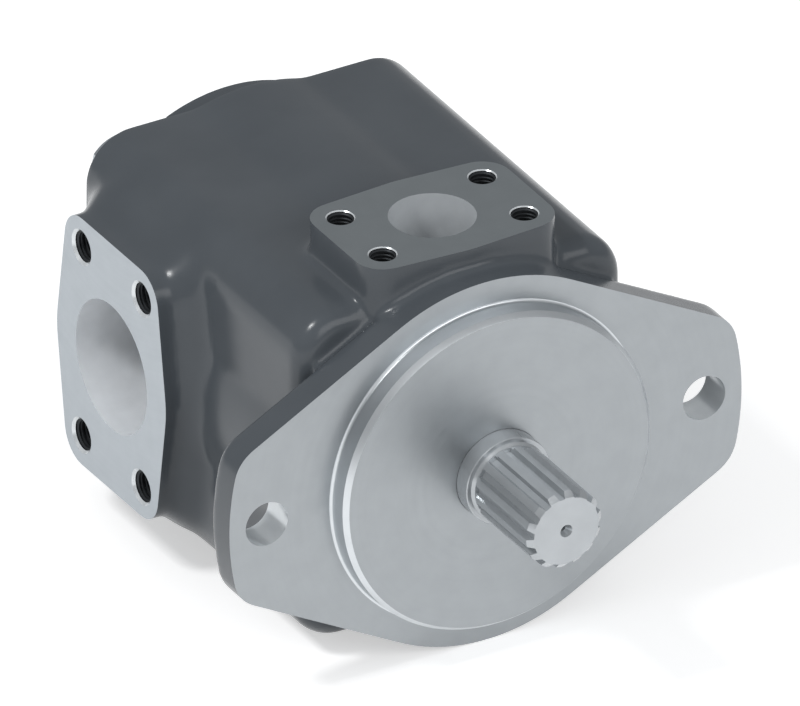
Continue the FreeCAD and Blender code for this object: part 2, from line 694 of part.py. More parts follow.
def suction_outline(drawing, spread):
    half_long, half_short = d.s_long / 2, d.s_short / 2
    front, rear = d.s_centre - half_short, d.s_centre + half_short
    corner, middle = d.s_corner + spread, d.s_middle + spread
    drawing.belt([
        (front, -half_long, corner), (rear, -half_long, corner), (d.s_centre + SLIVER, as_size(0), middle),
        (rear, half_long, corner), (front, half_long, corner), (d.s_centre - SLIVER, as_size(0), middle),
    ])


def suction_pad(body):
    """The suction pad, and the block behind it that spreads into the side of the body."""
    pad = Drawing(body, "YZ_Plane", -s_face)
    suction_outline(pad, 0)
    pad.pad(s_face - d.cavity_radius - d.pad_root, 1)
    near_face = Drawing(body, "YZ_Plane", d.s_pad - s_face)
    suction_outline(near_face, 0)
    foot = Drawing(body, "YZ_Plane", OVER - d.body_half)
    suction_outline(foot, d.s_foot_spread)
    loft = body.newObject("PartDesign::AdditiveLoft", "suction_skirt")
    loft.Profile = near_face.sketch
    loft.Sections = [foot.sketch]
    settle(body, loft, "Loft")


def make_housing_bolts():
    """Four hexagon screws that hold the housing to the cap, made from one that is turned and gets six flats."""
    screw = new_body("casing_bolt")
    seat = d.body_rear + d.seat_gap
    head_front = d.body_rear + d.washer_face
    head_end = d.body_rear + d.bolt_head
    corner = d.bolt_flats / 2 / cosine(30)
    bearing_face = d.bolt_flats / 2 - d.washer_inset
    blank = Drawing(screw, "YZ_Plane")
    blank.polygon([
        (bolt_tip, 0), (bolt_tip, d.bolt_radius - d.bolt_chamfer), (bolt_tip + d.bolt_chamfer, d.bolt_radius),
        (seat, d.bolt_radius), (seat, bearing_face), (head_front, bearing_face), (head_front, corner),
        (head_end - d.bolt_crown, corner), (head_end, bearing_face), (head_end, 0),
    ])
    blank.turn()
    flats = Drawing(screw, "XZ_Plane", head_front)
    flats.circle(0, 0, corner + OVER)
    flats.polygon([(corner * cosine(90 + 60 * turn), corner * sine(90 + 60 * turn)) for turn in range(6)])
    flats.pocket(d.bolt_head, 1)
    screws = []
    for across, up in bolt_places:
        copy = document.addObject("App::Link", "casing_bolt_copy")
        copy.LinkedObject = screw
        bind(copy, "Placement.Base.x", across)
        bind(copy, "Placement.Base.z", up)
        screws.append(copy)
    screw_set = document.addObject("Part::Compound", "housing_bolts")
    screw_set.Links = screws
    return screw_set


# Shaft seal: a steel case pressed into the cap, a rubber lip on the shaft and the spring round the lip
def make_shaft_seal():
    rear = seal_front + d.seal_width
    outer = d.seal_radius - d.seat_gap
    opening = d.shaft_radius + d.seal_lip_height
    skin = d.seal_skin
    case = turned("shaft_seal_case", [
        (seal_front, opening), (seal_front + skin, opening), (seal_front + skin, outer - skin),
        (rear, outer - skin), (rear, outer), (seal_front, outer),
    ])
    seat = opening - d.seat_gap
    tip = seal_front + d.lip_edge
    back = seal_front + d.lip_back
    touch = d.shaft_radius + d.running_gap
    lip = turned("shaft_seal_lip", [
        (seal_front, touch + skin), (tip - skin, touch + skin), (tip, touch), (back, touch + skin),
        (back, seat - 2 * skin), (seal_front + skin, seat - 2 * skin), (seal_front + skin, seat),
        (seal_front, seat),
    ])
    spring = new_body("garter_spring")
    wire = d.garter_wire
    ring = Drawing(spring, "YZ_Plane")
    ring.circle(back - 2 * wire, seat - 2 * skin + wire + d.seat_gap, wire)
    ring.turn()
    return [case, lip, spring]


# Ball bearing, with its retaining rings in the cap and on the shaft
def make_ball_bearing():
    middle = d.bearing_front + d.bearing_width / 2
    room = d.bearing_radius - d.shaft_radius
    ball_circle = (d.bearing_radius + d.shaft_radius) / 2
    ball_radius = room * d.ball_share
    track = ball_radius + d.running_gap
    outer_land = d.bearing_radius - room * d.ring_share
    inner_land = d.shaft_radius + room * d.ring_share
    outer = tube("bearing_outer_ring", d.bearing_front, bearing_rear, outer_land, d.bearing_radius - d.seat_gap)
    inner = tube("bearing_inner_ring", d.bearing_front, bearing_rear, d.shaft_radius + d.seat_gap, inner_land)
    for ring in (outer, inner):
        groove = Drawing(ring, "YZ_Plane")
        groove.circle(middle, ball_circle, track)
        groove.turn("Groove")
    balls, pockets = [], []
    for number in range(int(d.ball_count.value)):
        angle = 360 * number / d.ball_count
        for group, radius in ((balls, ball_radius), (pockets, track)):
            ball = document.addObject("Part::Sphere", "ball")
            bind(ball, "Radius", radius)
            bind(ball, "Placement.Base.x", ball_circle * sine(angle))
            bind(ball, "Placement.Base.y", middle)
            bind(ball, "Placement.Base.z", ball_circle * cosine(angle))
            group.append(ball)
    ball_set = document.addObject("Part::Compound", "bearing_balls")
    ball_set.Links = balls
    pocket_set = document.addObject("Part::Compound", "cage_pockets")
    pocket_set.Links = pockets
    cage_half = track + d.cage_rim
    ribbon = tube("cage_ribbon", middle - cage_half, middle + cage_half,
                  ball_circle - d.cage_wall / 2, ball_circle + d.cage_wall / 2)
    cage = document.addObject("Part::Cut", "bearing_cage")
    cage.Base = ribbon
    cage.Tool = pocket_set
    return [outer, inner, ball_set, cage]


def retaining_ring(label, front, rear, inner, outer, opening):
    """A spring ring with its gap at the bottom."""
    body = tube(label, front, rear, inner, outer)
    gap = Drawing(body, "XZ_Plane", front)
    gap.polygon([(-opening / 2, -outer - OVER), (opening / 2, -outer - OVER), (opening / 2, 0), (-opening / 2, 0)])
    gap.pocket(rear - front, 1)
    return body


def make_retaining_rings():
    cap_front = bearing_rear + d.seat_gap
    in_cap = retaining_ring(
        "bearing_retaining_ring", cap_front, cap_front + d.ring_width,
        d.bearing_radius - d.ring_reach, d.bearing_radius + d.ring_bite - d.seat_gap, d.ring_opening)
    shaft_rear = d.bearing_front - d.seat_gap
    on_shaft = retaining_ring(
        "shaft_retaining_ring", shaft_rear - d.clip_width, shaft_rear,
        d.shaft_radius - d.clip_bite + d.seat_gap, d.shaft_radius + d.clip_reach, d.clip_opening)
    return [in_cap, on_shaft]


# Cartridge: pressure plate, cam ring, rear side plate with its bush, and what holds them together
plate_front = d.parting - d.plate_thickness
cam_rear = d.parting + d.rotor_width
side_rear = cam_rear + d.side_plate
hub_rear = d.collar_rear + d.seat_gap
hub_radius = d.bearing_radius - d.running_gap
hub_groove = d.hub_front + d.seal_margin
plate_groove = plate_front + d.seal_margin
bush_outer = d.journal_radius + d.running_gap + d.bush_wall
# Places round the shaft, in degrees from X: the cam is widest at 0 and 180, so oil leaves where it falls after them
dowel_angles = (90, 270)
outlet_angles = (135, 315)
inlet_angles = (45, 225)


def round_places(circle, angles):
    return [(circle * cosine(angle), circle * sine(angle)) for angle in angles]


screw_angles = [angle + d.screw_angle for angle in dowel_angles]


def make_pressure_plate():
    floor_depth = d.ring_seal
    hub_end = hub_groove + d.seal_groove_width
    plate_end = plate_groove + d.seal_groove_width
    rim = d.cartridge_radius - d.seat_gap
    body = turned("pressure_plate", [
        (d.hub_front, d.hub_bore), (d.parting, d.hub_bore), (d.parting, rim), (plate_end, rim),
        (plate_end, rim - floor_depth), (plate_groove, rim - floor_depth), (plate_groove, rim),
        (plate_front, rim), (plate_front, d.hub_waist), (hub_rear, d.hub_waist), (hub_rear, hub_radius),
        (hub_end, hub_radius), (hub_end, hub_radius - floor_depth), (hub_groove, hub_radius - floor_depth),
        (hub_groove, hub_radius), (d.hub_front, hub_radius),
    ])
    ports = Drawing(body, "XZ_Plane", d.parting)
    for middle in outlet_angles:
        ports.sector(d.port_inner, d.port_outer, middle - d.port_sweep / 2, middle + d.port_sweep / 2)
    ports.pocket(d.plate_thickness, -1)
    drill(body, d.parting, round_places(d.dowel_circle, dowel_angles), d.dowel_radius + d.seat_gap, d.dowel_bite, -1)
    drill(body, d.parting, round_places(d.dowel_circle, screw_angles), d.screw_radius + d.thread_gap,
          d.dowel_bite, -1)
    return body


def drill(body, face, places, radius, depth, towards):
    holes = Drawing(body, "XZ_Plane", face)
    for across, up in places:
        holes.circle(across, up, radius)
    holes.pocket(depth, towards)


def square_seal(label, groove_front, groove_rear, floor, wall):
    """A rubber ring that fills its groove, and the thin back-up ring behind it."""
    split = groove_rear - d.backup_width
    inner, outer = floor + d.seat_gap, wall - d.seat_gap
    return [
        tube(label, groove_front + d.seat_gap, split, inner, outer),
        tube(label.replace("seal", "backup_ring"), split + d.seat_gap, groove_rear - d.seat_gap, inner, outer),
    ]


def make_cartridge_seals():
    bore = d.cartridge_radius + d.seat_gap
    rim = d.cartridge_radius - d.seat_gap
    return square_seal(
        "hub_seal", hub_groove, hub_groove + d.seal_groove_width, hub_radius - d.ring_seal, d.bearing_radius,
    ) + square_seal(
        "plate_seal", plate_groove, plate_groove + d.seal_groove_width, rim - d.ring_seal, bore,
    )


def make_face_seal():
    front = d.parting - d.face_seal_depth + d.seat_gap
    inner = d.face_seal_radius + d.seat_gap
    return tube("housing_face_seal", front, d.parting - d.seat_gap, inner, inner + d.face_seal_width)


def make_preload_spring():
    """A disc spring: its rim on the retaining ring, its bore on the pressure plate's hub."""
    start = bearing_rear + d.ring_width + 2 * d.seat_gap
    end = d.hub_front - d.seat_gap
    outer = d.bearing_radius - d.spring_margin
    inner = d.hub_bore + d.spring_reach
    thick = d.spring_thickness
    return turned("preload_spring", [(start, outer), (start + thick, outer), (end, inner), (end - thick, inner)])


# Degrees between the points that the cam's curve is laid through
CAM_STEP = 5


def cam_radius(angle):
    """Distance from the shaft to the cam, at an angle in degrees from X. Two arcs and two falls in each half."""
    from_major = abs((angle + 90) % 180 - 90)
    half_dwell = d.cam_dwell.value / 2
    share = (from_major - half_dwell) / (90 - 2 * half_dwell)
    share = min(max(share, 0), 1)
    fall = (d.cam_major - d.cam_minor).value
    return d.cam_minor.value + fall * (1 + math.cos(math.pi * share)) / 2


def make_cam_ring():
    """The cam ring's bore is a smooth closed curve worked out from its two radii and the dwell."""
    front, width = d.parting.value, d.rotor_width.value
    along = Vector(0, 1, 0)
    points = []
    for angle in range(0, 360, CAM_STEP):
        turn = math.radians(angle)
        points.append(Vector(cam_radius(angle) * math.cos(turn), front, cam_radius(angle) * math.sin(turn)))
    curve = Part.BSplineCurve()
    curve.interpolate(Points=points, PeriodicFlag=True)
    bore = Part.Face(Part.Wire(curve.toShape())).extrude(along * width)
    shape = Part.makeCylinder((d.cartridge_radius - d.seat_gap).value, width, Vector(0, front, 0), along).cut(bore)
    holes = [(place, d.dowel_radius + d.seat_gap) for place in round_places(d.dowel_circle, dowel_angles)]
    holes += [(place, d.screw_radius + d.thread_gap) for place in round_places(d.dowel_circle, screw_angles)]
    for (across, up), radius in holes:
        start = Vector(across.value, front, up.value)
        shape = shape.cut(Part.makeCylinder(radius.value, width, start, along))
    reach = d.cartridge_radius.value + OVER
    window = Part.makeBox(reach, d.intake_depth.value, d.intake_width.value)
    for place in (front, front + width - d.intake_depth.value):
        for angle in inlet_angles:
            cutter = window.copy()
            cutter.translate(Vector(0, place, -d.intake_width.value / 2))
            cutter.rotate(Vector(), along, -angle)
            shape = shape.cut(cutter)
    feature = document.addObject("Part::Feature", "cam_ring")
    feature.Label = "cam_ring"
    feature.Shape = shape
    feature.Placement = FreeCAD.Placement()
    return feature


def make_rear_side_plate():
    body = tube("rear_side_plate", cam_rear, side_rear, bush_outer, d.cartridge_radius - d.seat_gap)
    drill(body, cam_rear, round_places(d.dowel_circle, dowel_angles), d.dowel_radius + d.seat_gap, d.dowel_bite, 1)
    screws = round_places(d.dowel_circle, screw_angles)
    drill(body, cam_rear, screws, d.screw_radius + d.thread_gap, d.side_plate, 1)
    drill(body, side_rear, screws, d.screw_head + d.thread_gap, d.screw_head_height, -1)
    recess = Drawing(body, "XZ_Plane", cam_rear)
    for middle in outlet_angles:
        recess.sector(d.port_inner, d.port_outer, middle - d.port_sweep / 2, middle + d.port_sweep / 2)
    recess.pocket(d.recess_depth, 1)
    bush = tube("rear_plate_bush", cam_rear + d.running_gap, side_rear,
                d.journal_radius + d.running_gap, bush_outer - d.seat_gap)
    return [body, bush]


def make_cartridge_fasteners():
    dowels = new_body("cartridge_dowels")
    dowels.AllowCompound = True
    front = d.parting - d.dowel_bite + d.seat_gap
    pins = Drawing(dowels, "XZ_Plane", front)
    for across, up in round_places(d.dowel_circle, dowel_angles):
        pins.circle(across, up, d.dowel_radius)
    pins.pad(d.rotor_width + 2 * d.dowel_bite - 2 * d.seat_gap, 1)
    screws = new_body("cartridge_screws")
    screws.AllowCompound = True
    places = round_places(d.dowel_circle, screw_angles)
    head_front = side_rear - d.screw_head_height
    for start, radius, length in ((front, d.screw_radius, head_front - front + OVER),
                                  (head_front + d.seat_gap, d.screw_head, d.screw_head_height - d.seat_gap)):
        stage = Drawing(screws, "XZ_Plane", start)
        for across, up in places:
            stage.circle(across, up, radius)
        stage.pad(length, 1)
    return [dowels, screws]


# What turns: shaft and rotor, with a vane and its pin in each slot of the rotor
def make_drive_shaft():
    relief_rear = -d.shaft_nose - d.land_chamfer
    spline_rear = relief_rear - d.relief_length
    shoulder_rear = bearing_rear + d.shoulder_length
    shank_rear = d.parting - d.nose_chamfer
    clip_floor = d.shaft_radius - d.clip_bite
    clip_rear = d.bearing_front
    clip_front = clip_rear - d.clip_width - 2 * d.seat_gap
    end = side_rear + d.journal_spare
    body = turned("drive_shaft", [
        (-d.shaft_tip, 0), (-d.shaft_tip, d.spline_radius - d.tip_chamfer),
        (d.tip_chamfer - d.shaft_tip, d.spline_radius), (spline_rear, d.spline_radius),
        (spline_rear, d.relief_radius), (relief_rear - d.relief_slope, d.relief_radius),
        (relief_rear, d.relief_radius + d.relief_slope), (relief_rear, d.shaft_radius - d.land_chamfer),
        (-d.shaft_nose, d.shaft_radius),
        (clip_front, d.shaft_radius), (clip_front, clip_floor), (clip_rear, clip_floor),
        (clip_rear, d.shaft_radius), (bearing_rear + d.seat_gap, d.shaft_radius),
        (bearing_rear + d.seat_gap, d.shoulder_radius), (shoulder_rear, d.shoulder_radius),
        (shoulder_rear, d.shank_radius), (shank_rear, d.shank_radius), (shank_rear, d.drive_root),
        (cam_rear, d.drive_root), (cam_rear, d.journal_radius),
        (end - d.nose_chamfer, d.journal_radius), (end, d.journal_radius - d.nose_chamfer), (end, 0),
    ])
    gap = Drawing(body, "XZ_Plane", -d.shaft_tip)
    top = d.spline_radius + OVER
    gap.polygon(swung([(-d.gap_root / 2, d.spline_root), (d.gap_root / 2, d.spline_root),
                       (d.gap_mouth / 2, top), (-d.gap_mouth / 2, top)], d.spline_turn))
    cut = gap.pocket(d.shaft_tip + spline_rear + d.relief_length / 2, 1)
    repeated(body, cut, d.spline_teeth, "Y_Axis")
    tooth = Drawing(body, "XZ_Plane", shank_rear)
    tooth.polygon(spline_tooth(0))
    raised = tooth.pad(cam_rear - shank_rear, 1)
    repeated(body, raised, d.drive_teeth, "Y_Axis")
    cone = Drawing(body, "YZ_Plane")
    cone.polygon([(-d.shaft_tip - OVER, 0), (-d.shaft_tip - OVER, d.centre_hole),
                  (-d.shaft_tip, d.centre_hole), (d.centre_cone - d.shaft_tip, d.centre_drill),
                  (d.centre_depth - d.shaft_tip, d.centre_drill), (d.centre_depth - d.shaft_tip, 0)])
    cone.turn("Groove")
    return body


def swung(corners, angle):
    """The corners turned anticlockwise about the shaft, as seen from the rear."""
    return [(across * cosine(angle) - up * sine(angle), across * sine(angle) + up * cosine(angle))
            for across, up in corners]


def spline_tooth(gap):
    """A straight-sided tooth of the rotor's spline, or its space in the rotor where gap is its clearance."""
    half = d.drive_tooth / 2 + gap
    return [(-half, d.drive_root - OVER), (half, d.drive_root - OVER),
            (half, d.drive_radius + gap), (-half, d.drive_radius + gap)]


vane_tip = d.rotor_radius - d.vane_inset
vane_foot = vane_tip - d.vane_height
slot_floor = vane_foot - d.running_gap
pin_top = vane_foot - d.seat_gap
rotor_front = d.parting + d.running_gap
rotor_length = d.rotor_width - 2 * d.running_gap
rotor_middle = d.parting + d.rotor_width / 2


def make_rotor():
    body = tube("rotor", rotor_front, rotor_front + rotor_length, d.drive_root + d.running_gap, d.rotor_radius)
    space = Drawing(body, "XZ_Plane", rotor_front)
    space.polygon(spline_tooth(d.running_gap))
    repeated(body, space.pocket(rotor_length, 1), d.drive_teeth, "Y_Axis")
    slot = Drawing(body, "XZ_Plane", rotor_front)
    half = d.vane_thickness / 2 + d.running_gap
    slot.polygon([(-half, slot_floor), (half, slot_floor),
                  (half, d.rotor_radius + OVER), (-half, d.rotor_radius + OVER)])
    repeated(body, slot.pocket(rotor_length, 1), d.vane_count, "Y_Axis")
    pin_hole = Drawing(body, "XY_Plane", slot_floor + OVER)
    pin_hole.circle(0, rotor_middle, d.vane_pin + d.running_gap)
    repeated(body, pin_hole.pocket(d.vane_pin_length + OVER + d.running_gap, -1), d.vane_count, "Y_Axis")
    return body


def make_vanes():
    made = []
    half, bevel = d.vane_thickness / 2, d.vane_edge
    for number in range(int(d.vane_count.value)):
        vane = new_body(f"vane_{number + 1:02d}")
        blade = Drawing(vane, "XZ_Plane", rotor_front)
        blade.polygon([(-half, vane_foot), (half, vane_foot), (half, vane_tip - bevel),
                       (half - bevel, vane_tip), (bevel - half, vane_tip), (-half, vane_tip - bevel)])
        blade.pad(rotor_length, 1)
        pin = new_body(f"vane_pin_{number + 1:02d}")
        stem = Drawing(pin, "XY_Plane", pin_top)
        stem.circle(0, rotor_middle, d.vane_pin)
        stem.pad(d.vane_pin_length - d.running_gap, -1)
        for piece in (vane, pin):
            piece.Placement = FreeCAD.Placement(Vector(), FreeCAD.Rotation(Vector(0, 1, 0), 0))
            bind(piece, "Placement.Rotation.Angle", 360 * number / d.vane_count)
        made += [vane, pin]
    return made


pieces = [make_mounting_cap(), make_rear_housing(), make_housing_bolts(), make_face_seal()]
pieces += make_shaft_seal() + make_ball_bearing() + make_retaining_rings()
pieces += [make_preload_spring(), make_pressure_plate(), make_cam_ring()]
pieces += make_cartridge_seals() + make_rear_side_plate() + make_cartridge_fasteners()
pieces += [make_drive_shaft(), make_rotor()] + make_vanes()
document.recompute()

os.makedirs("parts", exist_ok=True)
for item in document.Objects:
    if "Invalid" in item.State or "Error" in item.State:
        raise RuntimeError(f"{item.Name} failed: {item.State}")
for piece in pieces:
    if piece.Shape.isNull() or not piece.Shape.isValid():
        raise RuntimeError(f"{piece.Label} has no valid shape")
for piece in pieces:
    piece.Shape.exportStep(f"parts/{piece.Label}.step")
    print(piece.Label, len(piece.Shape.Solids), round(piece.Shape.Volume, 1), piece.Shape.BoundBox)
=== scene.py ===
# %% [markdown]
# # A hydraulic vane pump
# The pump stands as in a catalogue picture: shaft end to the front, suction port to the left,
# pressure port on top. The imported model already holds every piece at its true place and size.
# This lesson dresses it: camera, light, a finish for every piece, and cast surfaces with the
# softness that sand casting leaves.

import json
import math

import bpy
import numpy as np
from mathutils import Euler, Matrix, Vector


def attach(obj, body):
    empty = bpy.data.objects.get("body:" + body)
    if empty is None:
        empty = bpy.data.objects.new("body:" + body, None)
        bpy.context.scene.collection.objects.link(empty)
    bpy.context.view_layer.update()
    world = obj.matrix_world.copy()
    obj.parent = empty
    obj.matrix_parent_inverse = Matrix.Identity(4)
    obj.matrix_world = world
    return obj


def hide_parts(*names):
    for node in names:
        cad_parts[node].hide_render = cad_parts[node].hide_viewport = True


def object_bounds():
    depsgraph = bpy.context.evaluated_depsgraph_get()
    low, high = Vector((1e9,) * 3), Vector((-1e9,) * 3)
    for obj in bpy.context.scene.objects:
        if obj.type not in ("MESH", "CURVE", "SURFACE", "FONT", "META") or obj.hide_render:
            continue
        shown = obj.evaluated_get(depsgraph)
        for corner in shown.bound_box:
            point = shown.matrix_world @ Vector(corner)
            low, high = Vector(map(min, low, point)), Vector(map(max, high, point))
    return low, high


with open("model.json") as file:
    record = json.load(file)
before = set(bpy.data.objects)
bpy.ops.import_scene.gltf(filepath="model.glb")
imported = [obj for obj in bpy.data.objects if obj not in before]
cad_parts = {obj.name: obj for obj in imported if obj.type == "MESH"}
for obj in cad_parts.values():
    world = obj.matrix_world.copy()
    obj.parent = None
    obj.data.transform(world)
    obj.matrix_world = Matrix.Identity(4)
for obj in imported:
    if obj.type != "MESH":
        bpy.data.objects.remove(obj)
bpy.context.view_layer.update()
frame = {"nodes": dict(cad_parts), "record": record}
MM = 0.001
nodes = frame["nodes"]
bpy.ops.object.select_all(action="DESELECT")

# %% [markdown]
# ## Camera
# The picture has no perspective: edges that are parallel on the pump stay parallel in it. So the
# camera is orthographic. It stands 30 degrees to the left of the shaft and looks down by 30
# degrees. One millimetre is 2.79 pixels wide, which was read off the distance between the two
# bolt holes of the flange. The origin, which is the middle of the flange's face, lies right of and
# below the middle of the picture.

# %% Camera
PIXELS_PER_MM = 2.79
IMAGE_WIDTH, IMAGE_HEIGHT = 800, 706
ORIGIN_X, ORIGIN_Y = 485.5, 461.0
DISTANCE = 1.2
turn = Euler((math.radians(60), 0, math.radians(-30)))
right, up, back = (turn.to_matrix() @ Vector(axis) for axis in ((1, 0, 0), (0, 1, 0), (0, 0, 1)))

bpy.ops.object.camera_add(rotation=turn)
camera = bpy.context.object
camera.name = "camera"
camera.data.type = "ORTHO"
camera.data.ortho_scale = IMAGE_WIDTH / PIXELS_PER_MM * MM
shift_right = (IMAGE_WIDTH / 2 - ORIGIN_X) / PIXELS_PER_MM * MM
shift_up = (ORIGIN_Y - IMAGE_HEIGHT / 2) / PIXELS_PER_MM * MM
camera.location = right * shift_right + up * shift_up + back * DISTANCE
bpy.context.scene.camera = camera
print("camera looks at", tuple(round(value, 4) for value in right * shift_right + up * shift_up))

# %% [markdown]
# ## Materials: the tools
# A colour is chosen on a screen, as sRGB, and the renderer works in linear light, so one
# function turns the one into the other. A second function adds a shader node with its settings,
# its values and its links, so that a finish reads as a short list.


# %% Colour and node helpers
def linear(code):
    """The linear colour of an sRGB hex code, with full alpha."""
    channels = [int(code[place:place + 2], 16) / 255 for place in (1, 3, 5)]
    return [c / 12.92 if c <= 0.04045 else ((c + 0.055) / 1.055) ** 2.4 for c in channels] + [1.0]


def add(material, kind, settings=None, values=None, links=None):
    """Adds one node to a material's tree and wires it up."""
    tree = material.node_tree
    node = tree.nodes.new("ShaderNode" + kind)
    for name, value in (settings or {}).items():
        setattr(node, name, value)
    for name, value in (values or {}).items():
        node.inputs[name].default_value = value
    for name, source in (links or {}).items():
        tree.links.new(source, node.inputs[name])
    return node


def new_material(name):
    """A material with an empty node tree."""
    material = bpy.data.materials.new(name)
    material.use_nodes = True
    material.node_tree.nodes.clear()
    return material


def close(material, shader):
    """Wires the last shader to the material's output."""
    output = add(material, "OutputMaterial")
    material.node_tree.links.new(shader.outputs[0], output.inputs["Surface"])
    return material


def varied(material, position, low, high, grain_mm):
    """A colour that wanders between two neighbours over patches of one grain size."""
    noise = add(material, "TexNoise", values={"Scale": 1 / (grain_mm * MM), "Detail": 4.0},
                links={"Vector": position})
    ramp = add(material, "ValToRGB", links={"Fac": noise.outputs["Fac"]})
    for element, stop, code in zip(ramp.color_ramp.elements, (0.35, 0.65), (low, high)):
        element.position = stop
        element.color = linear(code)
    return ramp.outputs["Color"]


def spread(material, source, low, high):
    """Stretches a pattern from 0..1 to a range of roughness."""
    node = add(material, "MapRange", values={"To Min": low, "To Max": high}, links={"Value": source})
    return node.outputs["Result"]


print("helpers ready")

# %% [markdown]
# ## Castings
# Both castings are grey iron, sprayed with a dark grey machine enamel. Enamel is a smooth, glossy
# film. It fills the sand's grain, so only a faint orange peel is left, which breaks the highlights
# a little. Its IOR is that of paint, 1.5. A real peel is 1 to 2 mm wide, and the waves that the
# sand leaves are some 7 mm wide.


# %% Enamel on cast iron
PEEL_MM, SAND_MM, SHADE_MM = 1.6, 7, 30


def machine_enamel():
    """Dark grey enamel on cast iron: orange peel over slow waves."""
    material = new_material("dark_grey_machine_enamel")
    place = add(material, "TexCoord").outputs["Object"]
    colour = varied(material, place, "#4D5257", "#51565B", SHADE_MM)
    peel = add(material, "TexNoise", values={"Scale": 1 / (PEEL_MM * MM), "Detail": 2.0},
               links={"Vector": place})
    sand = add(material, "TexNoise", values={"Scale": 1 / (SAND_MM * MM), "Detail": 3.0},
               links={"Vector": place})
    height = add(material, "Math", settings={"operation": "MULTIPLY_ADD"}, values={1: 2.0},
                 links={0: sand.outputs["Fac"], 2: peel.outputs["Fac"]})
    bump = add(material, "Bump", values={"Strength": 0.12, "Distance": 0.06 * MM},
               links={"Height": height.outputs[0]})
    shader = add(material, "BsdfPrincipled", values={"IOR": 1.5, "Specular IOR Level": 0.3},
                 links={"Base Color": colour, "Roughness": spread(material, sand.outputs["Fac"], 0.18, 0.25),
                        "Normal": bump.outputs["Normal"]})
    return close(material, shader)


enamel = machine_enamel()
print("made", enamel.name)

# %% [markdown]
# ## Machined iron
# Flange, spigot and pads are cut to bare metal. On the flange and the spigot the tool runs round
# the shaft's axis and leaves fine rings. On the pads the face mill crosses the face in wide arcs,
# so there the rings run round a far point. The real feed is 0.2 mm, too fine for this picture, so
# the marks are drawn 0.9 mm apart. All these faces are one finish, but each gets a tone set for the
# light that falls on it, which is painted light and shade: the suction pad's face and the spigot's
# wall are painted lighter. The spigot also has a finer finish, with less roughness.


# %% Turned and milled iron
FEED_MM = 0.9


def machined_iron(name, centre, axis, light, dark, roughness=(0.34, 0.44), metallic=1.0):
    """Bare metal with tool marks round an axis through the given point, in millimetres."""
    material = new_material(name)
    place = add(material, "TexCoord").outputs["Object"]
    shift = add(material, "VectorMath", settings={"operation": "SUBTRACT"},
                values={1: Vector(centre) * MM}, links={0: place}).outputs[0]
    flat = add(material, "VectorMath", settings={"operation": "MULTIPLY"},
               values={1: [0.0 if letter == axis else 1.0 for letter in "XYZ"]}, links={0: shift}).outputs[0]
    radius = add(material, "VectorMath", settings={"operation": "LENGTH"}, links={0: flat}).outputs["Value"]
    turns = add(material, "Math", settings={"operation": "MULTIPLY"},
                values={1: math.tau / (FEED_MM * MM)}, links={0: radius}).outputs[0]
    rings = add(material, "Math", settings={"operation": "SINE"}, links={0: turns}).outputs[0]
    uneven = add(material, "TexNoise", settings={"noise_dimensions": "1D"}, links={"W": radius},
                 values={"Scale": 1 / (2.5 * FEED_MM * MM), "Detail": 3.0}).outputs["Fac"]
    marks = add(material, "Math", settings={"operation": "MULTIPLY"}, links={0: rings, 1: uneven}).outputs[0]
    bump = add(material, "Bump", values={"Strength": 0.25, "Distance": 0.01 * MM}, links={"Height": marks})
    colour = varied(material, place, dark, light, 10 * FEED_MM)
    shader = add(material, "BsdfPrincipled", values={"Metallic": metallic},
                 links={"Base Color": colour, "Roughness": spread(material, uneven, *roughness),
                        "Normal": bump.outputs["Normal"]})
    return close(material, shader)


# One machined iron in four tones, each set for the light its faces get: painted light and shade.
turned_iron = machined_iron("turned_grey_iron", (0, 0, 0), "Y", "#A3A7AA", "#A0A4A7")
milled_top = machined_iron("face_milled_iron_top", (70, 38, 0), "Z", "#A3A9AC", "#A0A6A9")
# The suction pad's face is painted lighter than the flange: painted light.
milled_side_painted_lighter = machined_iron("face_milled_iron_side_painted_lighter", (0, 125, 110), "X", "#ACB2B7", "#A9AFB4")
# The spigot's wall is painted lighter than the flange: painted light.
spigot_iron_painted_lighter = machined_iron("fine_turned_spigot_painted_lighter", (0, 0, 0), "Y", "#D3D7DA", "#CED2D5",
                            roughness=(0.3, 0.38))
print("made", turned_iron.name, spigot_iron_painted_lighter.name, milled_top.name, milled_side_painted_lighter.name)

# %% [markdown]
# ## Bores, steels, bronze, rubber and plastic
# The two ports and the flange's holes are bored with a fine feed, which leaves a satin wall. These
# walls are painted light, with a low metal share: painted light where the bores would lie in shade.
# The threads of the tapped holes are painted near black: painted shade for the dark inside a thread.
#
# The inner pieces hide in the closed pump, and show when it is taken apart. Each gets the finish
# that its process gives: ground steel is bright and even, hardened steel a little browner,
# black-oxide steel dark, sintered bronze grainy, seal rubber matt.


# %% Finishes with a fine grain
def metal(name, light, dark, grain_mm, roughness, bump_mm=0.004, metallic=1.0, ior=1.5):
    """A finish whose grain has the same size in every direction."""
    material = new_material(name)
    place = add(material, "TexCoord").outputs["Object"]
    colour = varied(material, place, dark, light, grain_mm * 6)
    grain = add(material, "TexNoise", values={"Scale": 1 / (grain_mm * MM), "Detail": 3.0},
                links={"Vector": place}).outputs["Fac"]
    bump = add(material, "Bump", values={"Strength": 0.3, "Distance": bump_mm * MM}, links={"Height": grain})
    shader = add(material, "BsdfPrincipled", values={"Metallic": metallic, "IOR": ior},
                 links={"Base Color": colour, "Roughness": spread(material, grain, *roughness),
                        "Normal": bump.outputs["Normal"]})
    return close(material, shader)


# walls painted light, which is painted light in the holes, with a soft glint from low roughness
drilled_iron_painted_light = metal("drilled_grey_iron_painted_light", "#E6EAEC", "#DDE1E4", 1.2, (0.2, 0.28), metallic=0.45)
# satin, painted near white: painted light in the suction port
bored_iron_painted_light = metal("fine_bored_iron_painted_light", "#EEF2F6", "#E8ECF0", 1.2, (0.3, 0.4), metallic=0.05)
# satin, painted light grey: painted light in the pressure port
reamed_iron_painted_light = metal("reamed_iron_painted_light", "#CDD1D4", "#C6CACD", 1.2, (0.3, 0.4), metallic=0.2)
